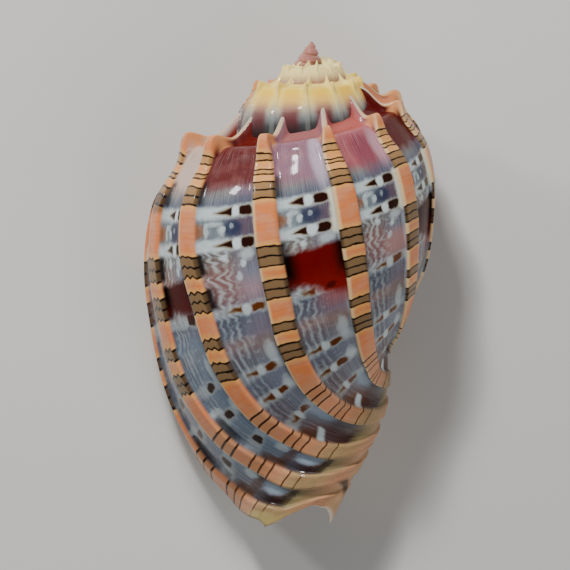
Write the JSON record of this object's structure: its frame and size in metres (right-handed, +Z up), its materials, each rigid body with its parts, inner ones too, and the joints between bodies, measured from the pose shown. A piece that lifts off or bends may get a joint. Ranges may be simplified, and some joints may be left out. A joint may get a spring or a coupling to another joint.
{
  "type": "harp shell",
  "caption": "Glossy ribbed sea snail shell with a low spiny spire, a swollen last whorl with flat-topped lengthwise ribs, and a wide mouth underneath.",
  "frame": {"origin": "middle of the bounding box's underside, on the surface that the shell lies on", "axes": "+Y from the notched tip towards the spire, +Z up out of the shell's back, -X towards the mouth edge"},
  "size_m": [0.0434, 0.068, 0.0324],
  "materials": {
    "shell": "polished"
  },
  "bodies": {
    "root": {"shell": "shell"}
  },
  "joints": []
}
